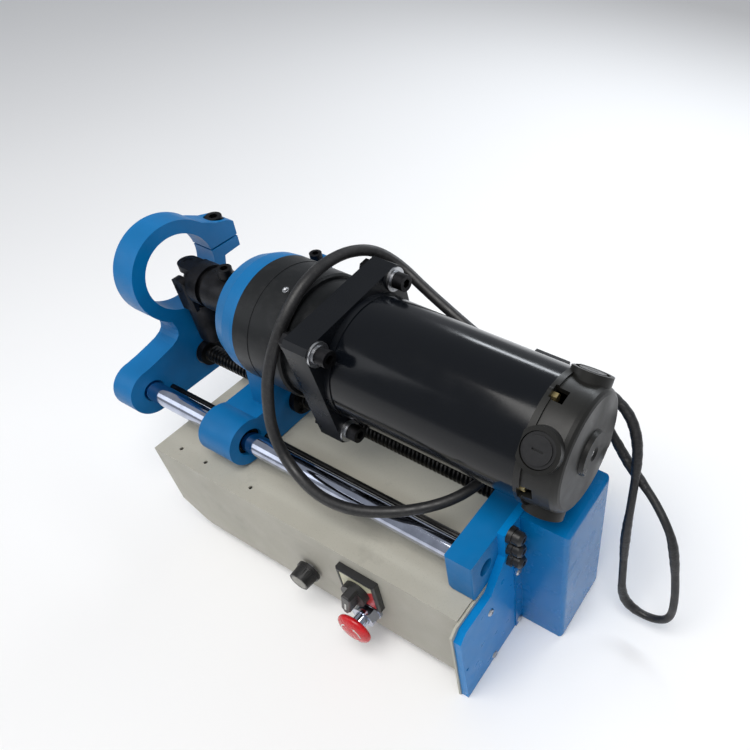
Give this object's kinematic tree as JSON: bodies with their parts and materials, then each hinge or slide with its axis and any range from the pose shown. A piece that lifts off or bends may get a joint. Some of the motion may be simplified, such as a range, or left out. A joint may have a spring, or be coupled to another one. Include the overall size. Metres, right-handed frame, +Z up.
{
  "type": "portable line boring drive unit",
  "caption": "Portable line boring drive: geared DC motor and universal joint on a carriage sliding along two rods between a ring bracket and a blue feed end, on a grey control base",
  "frame": {"origin": "middle of the bounding box on the floor plane, cables left out", "axes": "+X along the boring axis towards the motor end, -Y towards the controls, +Z up"},
  "size_m": [0.6277, 0.3064, 0.3538],
  "materials": {
    "grey_sheet": "satin grey powder coat",
    "pale_sheet": "pale grey paint",
    "blue_paint": "satin blue enamel",
    "blue_gloss": "gloss blue enamel",
    "black_paint": "satin black paint",
    "chrome_rod": "hard chrome, polished",
    "black_oxide": "black oxide",
    "zinc": "zinc plated",
    "steel": "bare steel",
    "bronze": "bronze",
    "brass_screw": "yellow passivated",
    "black_plastic": "black moulded plastic",
    "red_plastic": "red moulded plastic",
    "cable_rubber": "black cable sheath",
    "belt_rubber": "black belt",
    "copper": "copper",
    "ferrite": "ferrite",
    "carbon": "carbon",
    "board_green": "circuit board",
    "pot_metal": "plain"
  },
  "bodies": {
    "base": {"base_shell": "grey_sheet", "base_bottom_cover": "grey_sheet", "base_end_flange": "pale_sheet", "rear_plate": "blue_paint", "rod_block": "blue_paint", "front_bracket": "blue_paint", "bracket_clamp_screw": "black_oxide", "guide_rods": "chrome_rod", "stop_rod": "black_oxide", "plate_screws": "zinc", "feed_box_cover": "blue_gloss", "cable_glands": "black_plastic", "base_gland": "black_plastic", "control_board": "board_green", "speed_pot": "pot_metal", "selector_switch": "black_plastic", "estop_collar": "pot_metal", "estop_contact_block": "black_plastic", "feed_motor": "black_paint", "screw_bearings": "steel", "timing_belt": "belt_rubber"},
    "carriage": {"carriage_casting": "blue_paint", "carriage_bushes": "bronze", "lead_nut": "black_oxide", "carriage_clamp_screw": "black_oxide", "gearbox_nose": "black_paint", "gearbox_spacer_ring": "black_paint", "ring_gear_housing": "black_paint", "motor_adapter": "black_paint", "square_flange": "black_paint", "flange_screws": "black_oxide", "flange_washers": "zinc", "grease_nipple": "zinc", "motor_tube": "black_paint", "motor_magnets": "ferrite", "end_bell": "black_paint", "brush_caps": "black_plastic", "brushes": "carbon", "tie_bolts": "brass_screw", "ball_bearings": "steel", "motor_junction_box": "black_plastic", "cable_motor_loop": "cable_rubber", "cable_rear_loop": "cable_rubber"},
    "feed_screw": {"lead_screw": "black_oxide", "screw_collar": "black_oxide", "feed_pulley": "pot_metal"},
    "feed_drive": {"drive_pulley": "pot_metal"},
    "rotor": {"armature": "steel", "commutator": "copper"},
    "output": {"spindle": "steel", "uj_drive_yoke": "black_oxide", "yoke_screw": "black_oxide"},
    "planet_1": {"planet_gear_1": "steel"},
    "planet_2": {"planet_gear_2": "steel"},
    "planet_3": {"planet_gear_3": "steel"},
    "joint_cross": {"uj_cross": "steel"},
    "free_yoke": {"uj_driven_yoke": "black_oxide"},
    "speed_control": {"speed_knob": "black_plastic"},
    "selector": {"selector_handle": "black_plastic"},
    "emergency_stop": {"estop_button": "red_plastic"}
  },
  "joints": [
    {"name": "carriage_feed", "type": "slide", "parent": "base", "child": "carriage", "axis": [1, 0, 0], "range_m": [0, 0.23], "deforming": ["cable_motor_loop"]},
    {"name": "feed_screw_spin", "type": "hinge", "parent": "base", "child": "feed_screw", "pos_m": [-0.195, 0.00175, 0.1635], "axis": [1, 0, 0], "continuous": true},
    {"name": "feed_drive_spin", "type": "hinge", "parent": "base", "child": "feed_drive", "pos_m": [0.213, 0.00175, 0.0955], "axis": [1, 0, 0], "continuous": true},
    {"name": "motor_spin", "type": "hinge", "parent": "carriage", "child": "rotor", "pos_m": [0.105, 0.01015, 0.2701], "axis": [1, 0, 0], "continuous": true},
    {"name": "spindle_spin", "type": "hinge", "parent": "carriage", "child": "output", "pos_m": [-0.095, 0.01015, 0.2701], "axis": [1, 0, 0], "continuous": true},
    {"name": "cross_swivel", "type": "hinge", "parent": "output", "child": "joint_cross", "pos_m": [-0.215, 0.01015, 0.2701], "axis": [0, 0, 1], "range_deg": [-5, 5]},
    {"name": "free_yoke_swing", "type": "hinge", "parent": "joint_cross", "child": "free_yoke", "pos_m": [-0.215, 0.01015, 0.2701], "axis": [0, 1, 0], "range_deg": [-4, 0]},
    {"name": "speed_knob_turn", "type": "hinge", "parent": "base", "child": "speed_control", "pos_m": [0.011, -0.11975, 0.063], "axis": [0, 1, 0], "range_deg": [-135, 135]},
    {"name": "selector_turn", "type": "hinge", "parent": "base", "child": "selector", "pos_m": [0.0854, -0.11975, 0.093], "axis": [0, 1, 0], "range_deg": [-60, 60]},
    {"name": "emergency_stop_push", "type": "slide", "parent": "base", "child": "emergency_stop", "axis": [0, 1, 0], "range_m": [0, 0.004]},
    {"name": "planet_1_spin", "type": "hinge", "parent": "output", "child": "planet_1", "pos_m": [-0.047, 0.01015, 0.2941], "axis": [1, 0, 0], "continuous": true},
    {"name": "planet_2_spin", "type": "hinge", "parent": "output", "child": "planet_2", "pos_m": [-0.047, -0.01064, 0.2581], "axis": [1, 0, 0], "continuous": true},
    {"name": "planet_3_spin", "type": "hinge", "parent": "output", "child": "planet_3", "pos_m": [-0.047, 0.03094, 0.2581], "axis": [1, 0, 0], "continuous": true}
  ],
  "couplings": [
    {"joint": "feed_screw_spin", "follows": "carriage_feed", "rad_per_m": -1256.6},
    {"joint": "feed_drive_spin", "follows": "carriage_feed", "rad_per_m": -2126.6},
    {"joint": "spindle_spin", "follows": "motor_spin", "ratio": 0.20833},
    {"joint": "planet_1_spin", "follows": "motor_spin", "ratio": -0.56548},
    {"joint": "planet_2_spin", "follows": "motor_spin", "ratio": -0.56548},
    {"joint": "planet_3_spin", "follows": "motor_spin", "ratio": -0.56548}
  ]
}
